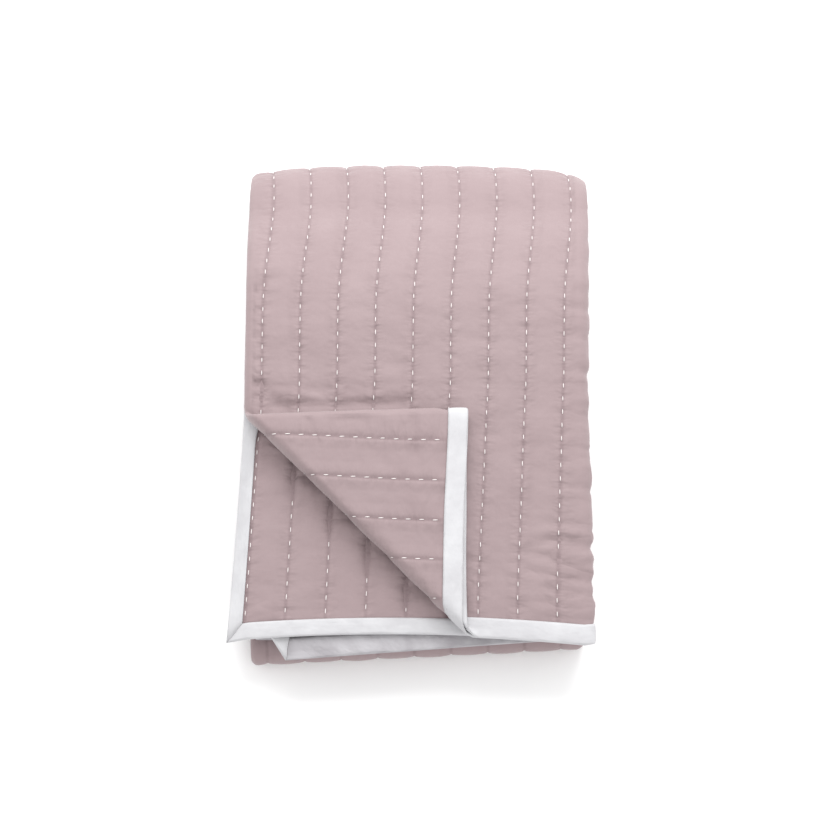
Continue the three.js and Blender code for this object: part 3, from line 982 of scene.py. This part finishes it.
def cloth_coordinates(material):
    """Coordinates in metres on the flat cloth"""
    node = add_node(material, "ShaderNodeUVMap")
    node.uv_map = "flat_cloth"
    return node.outputs["UV"]


def attribute(material, name):
    """Number that the mesh stores at its points under a name"""
    node = add_node(material, "ShaderNodeAttribute")
    node.attribute_name = name
    return node.outputs["Fac"]


def math_node(material, operation, a, b):
    """A math node whose inputs are sockets or numbers"""
    node = add_node(material, "ShaderNodeMath")
    node.operation = operation
    link_or_set(material, a, node.inputs[0])
    link_or_set(material, b, node.inputs[1])
    return node.outputs[0]


def scaled(material, value, factor):
    """A value times a factor"""
    return math_node(material, "MULTIPLY", value, factor)


def mix_colours(material, share, a, b):
    """A colour mix. share is a socket, and a and b are colours or sockets"""
    node = add_node(material, "ShaderNodeMix")
    node.data_type = "RGBA"
    colour_a, colour_b = (s for s in node.inputs if s.type == "RGBA")
    link(material, share, node.inputs["Factor"])
    link_or_set(material, a, colour_a)
    link_or_set(material, b, colour_b)
    return next(s for s in node.outputs if s.type == "RGBA")


def weave_height(material, coordinates):
    """Height of a plain weave: two waves at right angles on the flat cloth"""
    values = {"Scale": THREADS_PER_METRE * math.tau / 20, "Distortion": 0.4, "Detail": 1.0}
    waves = []
    for direction in ("X", "Y"):
        wave = add_node(material, "ShaderNodeTexWave", values)
        wave.wave_type = "BANDS"
        wave.bands_direction = direction
        link(material, coordinates, wave.inputs["Vector"])
        waves.append(wave.outputs["Fac"])
    return scaled(material, *waves)


def soft_noise(material, coordinates, scale, detail=3.0, stretch=(1.0, 1.0, 1.0)):
    """Noise on given coordinates, stretched along an axis where asked"""
    mapping = add_node(material, "ShaderNodeMapping", {"Scale": stretch})
    link(material, coordinates, mapping.inputs["Vector"])
    texture = add_node(material, "ShaderNodeTexNoise", {"Scale": scale, "Detail": detail})
    link(material, mapping.outputs["Vector"], texture.inputs["Vector"])
    return texture.outputs["Fac"]


def add_bump(material, height, distance, strength, below=None):
    """A bump, laid on another bump where one is given"""
    bump = add_node(material, "ShaderNodeBump", {"Distance": distance, "Strength": strength})
    link(material, height, bump.inputs["Height"])
    if below:
        link(material, below, bump.inputs["Normal"])
    return bump.outputs["Normal"]


def smooth_range(material, value, low, high, at_low, at_high):
    """A smooth step from one number at a low value to another at a high one"""
    limits = {"From Min": low, "From Max": high, "To Min": at_low, "To Max": at_high}
    node = add_node(material, "ShaderNodeMapRange", limits)
    node.interpolation_type = "SMOOTHSTEP"
    link(material, value, node.inputs["Value"])
    return node.outputs["Result"]


def wrinkle_height(material, flat):
    """Height of fine wrinkles that run mostly across the channels, where the cloth rumples"""
    heights = []
    for scale, stretch in ((26.0, (0.55, 1.5, 1.0)), (40.0, (0.8, 1.2, 1.0))):
        wave = soft_noise(material, flat, scale, detail=1.0, stretch=stretch)
        ridge = math_node(material, "ABSOLUTE", math_node(material, "SUBTRACT", wave, 0.5), 0.0)
        heights.append(math_node(material, "POWER", ridge, 1.15))
    wide, fine = heights
    both = math_node(material, "ADD", wide, scaled(material, fine, 0.35))
    return scaled(material, both, attribute(material, "rumple"))


def cotton_colour(material, flat, painted_crease_shade_mask, near_line, colours):
    """Mottled colour with slubs, with painted shade: a little darker in the hollow of a line and dark in
    the crease at its stitches
    """
    colour, shade, painted_crease_shade = colours
    cloudy = soft_noise(material, flat, scale=16.0)
    mottled = mix_colours(material, cloudy, shade, colour)
    slub = soft_noise(material, flat, scale=60.0, detail=4.0, stretch=(0.4, 9.0, 1.0))
    threaded = mix_colours(material, scaled(material, slub, 0.35), mottled, shade)
    # Painted shade: a little darker in the hollow beside each line
    hollow = mix_colours(material, scaled(material, near_line, 0.25), threaded, shade)
    # Painted shade: dark in the tight crease where the thread pulls the cloth in
    return mix_colours(material, scaled(material, painted_crease_shade_mask, 0.3), hollow, painted_crease_shade)


def cotton_normal(material, flat, near_line):
    """Soft unevenness, puckers beside the lines, fine wrinkles and the weave, one on another"""
    soft = soft_noise(material, flat, scale=24.0, detail=3.5)
    pucker = soft_noise(material, flat, scale=62.0, detail=2.0, stretch=(0.6, 1.4, 1.0))
    normal = add_bump(material, soft, distance=0.008, strength=0.5)
    normal = add_bump(material, scaled(material, pucker, near_line), 0.006, 0.7, normal)
    normal = add_bump(material, wrinkle_height(material, flat), 0.013, 1.0, normal)
    return add_bump(material, weave_height(material, flat), 0.00012, 0.35, normal)


def quilted_cotton(*colours):
    """Fine pink cotton, puckered beside each line of quilting and darkened there with painted shade"""
    finish = {"Roughness": 0.72, "Specular IOR Level": 0.35, "Sheen Weight": 0.25, "Sheen Roughness": 0.45}
    material, shader = new_material("quilted_pink_cotton", finish)
    flat = cloth_coordinates(material)
    from_line = attribute(material, "line_distance")
    # Mask of the painted shade in the crease at each line of stitches
    painted_crease_shade_mask = smooth_range(material, from_line, 0.4 * MM, 3.2 * MM, 1.0, 0.0)
    # Beside a line: puckers, and painted shade in the hollow
    near_line = smooth_range(material, from_line, 0.0, 16 * MM, 1.0, 0.0)
    colour = cotton_colour(material, flat, painted_crease_shade_mask, near_line, colours)
    link(material, colour, shader.inputs["Base Color"])
    link(material, cotton_normal(material, flat, near_line), shader.inputs["Normal"])
    return material


def binding_cotton(name, colour, shade, wrinkled):
    """White cotton tape with a fine weave, pressing marks and as many wrinkles as asked"""
    finish = {"Roughness": 0.7, "Specular IOR Level": 0.3, "Sheen Weight": 0.15}
    material, shader = new_material(name, finish)
    flat = cloth_coordinates(material)
    cloudy = soft_noise(material, flat, scale=30.0, detail=4.0)
    spread = smooth_range(material, cloudy, 0.3, 0.7, 0.0, 1.0)
    link(material, mix_colours(material, spread, shade, colour), shader.inputs["Base Color"])
    soft = soft_noise(material, flat, scale=55.0, stretch=(1.0, 0.6, 1.0))
    normal = add_bump(material, soft, distance=0.005, strength=wrinkled)
    normal = add_bump(material, weave_height(material, flat), 0.0001, 0.3, normal)
    link(material, normal, shader.inputs["Normal"])
    return material


def mottled_material(name, finish, colours, scale, detail=3.0):
    """A material between two colours, with its shader and the noise that mixes them"""
    material, shader = new_material(name, finish)
    colour, shade = colours
    place = add_node(material, "ShaderNodeTexCoord").outputs["Object"]
    cloudy = soft_noise(material, place, scale, detail)
    link(material, mix_colours(material, cloudy, shade, colour), shader.inputs["Base Color"])
    return material, shader, cloudy


def quilting_thread(*colours):
    """Off-white thread, twisted"""
    finish = {"Roughness": 0.6}
    material, shader, twist = mottled_material("quilting_thread", finish, colours, 900.0, 1.0)
    link(material, add_bump(material, twist, 0.0002, 0.5), shader.inputs["Normal"])
    return material


def studio_floor(*colours):
    """Plain pale floor with a very faint unevenness"""
    finish = {"Roughness": 0.9, "Specular IOR Level": 0.1}
    return mottled_material("studio_floor", finish, colours, scale=1.5)[0]


# Settings


def number_property(name, description, default, **limits):
    """A property that holds a number"""
    return bpy.props.FloatProperty(name=name, description=description, default=default, **limits)


def length_property(name, description, default, least):
    """A property that holds a length"""
    return number_property(name, description, default, min=least, unit="LENGTH")


def colour_property(name, *colour):
    """A property that holds an opaque colour"""
    return bpy.props.FloatVectorProperty(
        name=name,
        description=f"Colour of the {name.lower()}",
        default=(*colour, 1.0),
        size=4,
        subtype="COLOR",
        min=0,
        max=1,
    )


class BedspreadSettings(bpy.types.PropertyGroup):
    """Sizes of the sewing and colours of the cloths"""

    stitch_length: length_property("Stitch length", "Length of one stitch", 5.8 * MM, 2 * MM)
    stitch_period: length_property("Stitch period", "From stitch to stitch", 15.2 * MM, 5 * MM)
    thread_width: length_property("Thread width", "Width of the thread", 1.05 * MM, 0.3 * MM)
    cotton: colour_property("Quilted cotton", 0.322, 0.248, 0.254)
    # The cotton's second colour serves both its random mottle and the painted shade in its hollows
    cotton_mottle_and_hollow_shade: colour_property("Cotton in its hollows", 0.27, 0.202, 0.208)
    # Colour of the painted shade in the crease at the stitches
    cotton_crease_painted_shade: colour_property("Cotton at its stitches", 0.16, 0.11, 0.118)
    binding: colour_property("White binding", 0.535, 0.533, 0.548)
    binding_shade: colour_property("White binding's shade", 0.475, 0.47, 0.486)
    # The lower end's binding is darker than the white binding: painted shade where it lies under the edge
    # of the top layers
    lower_binding: colour_property("Lower end's shaded binding", 0.43, 0.418, 0.437)
    lower_shade: colour_property("Lower end's binding's shade", 0.32, 0.305, 0.322)
    thread: colour_property("Quilting thread", 0.82, 0.78, 0.76)
    thread_shade: colour_property("Quilting thread's shade", 0.72, 0.67, 0.66)


class StudioSettings(bpy.types.PropertyGroup):
    """Camera, lights and floor"""

    elevation: number_property(
        "Camera elevation", "Camera's angle above the floor", math.radians(74), subtype="ANGLE"
    )
    distance: length_property("Camera distance", "From the camera to its target", 3.4, 0.5)
    millimetres_per_pixel: number_property(
        "Millimetres per pixel", "Scale of the picture at the camera's target", 1.15
    )
    target: bpy.props.FloatVectorProperty(
        name="Target",
        description="Point that the camera looks at",
        default=(3 * MM, -13.5 * MM, 60 * MM),
        subtype="TRANSLATION",
    )
    key_power: number_property(
        "Key light", "Power of the large light behind and above", 54.0, unit="POWER"
    )
    fill_power: number_property("Fill light", "Power of the light in front", 5.0, unit="POWER")
    floor: colour_property("Floor", 0.97, 0.97, 0.97)
    floor_shade: colour_property("Floor's shade", 0.95, 0.95, 0.95)


# Operators


class BEDSPREAD_OT_quilted_cloth(bpy.types.Operator):
    """Build the folded, quilted cloth"""

    bl_idname = "bedspread.quilted_cloth"
    bl_label = "Quilted cloth"

    def execute(self, context):
        settings = context.scene.bedspread
        cloth = build_cloth(TOP_ROW)
        cotton = quilted_cotton(settings.cotton, settings.cotton_mottle_and_hollow_shade, settings.cotton_crease_painted_shade)
        cloth.data.materials.append(cotton)
        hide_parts("quilted_panel")
        return {"FINISHED"}


class BEDSPREAD_OT_bindings(bpy.types.Operator):
    """Build the four strips of binding"""

    bl_idname = "bedspread.bindings"
    bl_label = "Bindings"

    def execute(self, context):
        colours = context.scene.bedspread
        plain_binding = binding_cotton("white_binding_cotton", colours.binding, colours.binding_shade, 0.5)
        # The lower end's binding gets darker colours: painted shade where it lies under the edge of the
        # top layers
        painted_shade_binding = binding_cotton("painted_shade_lower_binding_cotton", colours.lower_binding, colours.lower_shade, 0.9)
        stations = {CLOTH_WIDTH: across_stations(), CLOTH_LENGTH: along_stations(SIDE_BINDING_ROW)}
        for seed, (edge, (length, on_cloth)) in enumerate(BINDINGS.items()):
            strip = build_binding(f"{edge}_binding", stations[length], length, on_cloth, seed)
            strip.data.materials.append(painted_shade_binding if edge == "lower_end" else plain_binding)
            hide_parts(f"binding_{edge}")
        return {"FINISHED"}


class BEDSPREAD_OT_stitches(bpy.types.Operator):
    bl_idname = "bedspread.stitches"
    bl_label = "Running stitches"

    def execute(self, context):
        sewing = context.scene.bedspread
        stitches = build_stitches(sewing.stitch_length, sewing.thread_width, sewing.stitch_period)
        stitches.data.materials.append(quilting_thread(sewing.thread, sewing.thread_shade))
        return {"FINISHED"}


class BEDSPREAD_OT_studio(bpy.types.Operator):
    """Set up the floor, the lights and the camera"""

    bl_idname = "bedspread.studio"
    bl_label = "Studio"

    def execute(self, context):
        settings = context.scene.bedspread_studio
        context.scene.view_settings.view_transform = "Standard"
        add_floor(settings)
        add_area_light(context, "key_light", KEY_LIGHT, settings.key_power)
        add_area_light(context, "fill_light", FILL_LIGHT, settings.fill_power)
        add_surround(context)
        add_camera(context, settings)
        return {"FINISHED"}


# Studio


def add_floor(settings):
    """A wide plain floor"""
    bm = bmesh.new()
    bmesh.ops.create_grid(bm, x_segments=1, y_segments=1, size=FLOOR_HALF_WIDTH)
    floor = link_mesh("floor", bm)
    floor.data.materials.append(studio_floor(settings.floor, settings.floor_shade))
    floor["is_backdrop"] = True


def add_area_light(context, name, shape, power):
    """A square soft light that points at the cloth"""
    light = bpy.data.lights.new(name, "AREA")
    light.size = shape["size"]
    light.energy = power
    obj = bpy.data.objects.new(name, light)
    obj.location = shape["place"]
    aim = Vector(LIGHT_TARGET) - Vector(shape["place"])
    obj.rotation_euler = aim.to_track_quat("-Z", "Y").to_euler()
    context.collection.objects.link(obj)


def add_surround(context):
    """An even white surround"""
    world = bpy.data.worlds.new("studio_surround")
    world.use_nodes = True
    background = next(n for n in world.node_tree.nodes if n.type == "BACKGROUND")
    background.inputs["Color"].default_value = (1.0, 1.0, 1.0, 1.0)
    background.inputs["Strength"].default_value = SURROUND_STRENGTH
    context.scene.world = world


def add_camera(context, settings):
    """The camera at the photograph's angle and distance"""
    camera = bpy.data.cameras.new("camera")
    camera.sensor_width = SENSOR / MM
    metres_per_pixel = settings.millimetres_per_pixel * MM
    camera.lens = settings.distance * SENSOR / MM / (IMAGE_PIXELS * metres_per_pixel)
    camera.clip_end = CAMERA_REACH
    obj = bpy.data.objects.new("camera", camera)
    target = Vector(settings.target)
    away = Vector((0, -math.cos(settings.elevation), math.sin(settings.elevation)))
    obj.location = target + away * settings.distance
    obj.rotation_euler = (-away).to_track_quat("-Z", "Y").to_euler()
    context.collection.objects.link(obj)
    context.scene.camera = obj


class BEDSPREAD_PT_panel(bpy.types.Panel):
    """Builds the bedspread, piece by piece"""

    bl_label = "Folded Bedspread"
    bl_space_type = "VIEW_3D"
    bl_region_type = "UI"
    bl_category = "Bedspread"

    def draw(self, context):
        layout = self.layout
        for group in (context.scene.bedspread, context.scene.bedspread_studio):
            for name in group.bl_rna.properties.keys():
                if name not in {"rna_type", "name"}:
                    layout.prop(group, name)
        for operator in OPERATORS:
            layout.operator(operator.bl_idname)


OPERATORS = (
    BEDSPREAD_OT_quilted_cloth,
    BEDSPREAD_OT_bindings,
    BEDSPREAD_OT_stitches,
    BEDSPREAD_OT_studio,
)
CLASSES = (BedspreadSettings, StudioSettings, *OPERATORS, BEDSPREAD_PT_panel)


def register():
    for cls in CLASSES:
        bpy.utils.register_class(cls)
    bpy.types.Scene.bedspread = bpy.props.PointerProperty(type=BedspreadSettings)
    bpy.types.Scene.bedspread_studio = bpy.props.PointerProperty(type=StudioSettings)


def unregister():
    del bpy.types.Scene.bedspread_studio
    del bpy.types.Scene.bedspread
    for cls in reversed(CLASSES):
        bpy.utils.unregister_class(cls)


def main():
    """Builds everything and works out the sizes of the frame and of the finished model"""
    register()
    bpy.ops.bedspread.quilted_cloth()
    bpy.ops.bedspread.bindings()
    bpy.ops.bedspread.stitches()
    bpy.ops.bedspread.studio()
    sizes = {"cad": CAD_BOX, "visual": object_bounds()}
    plain = {name: [list(corner) for corner in box] for name, box in sizes.items()}


if __name__ == "__main__":
    main()
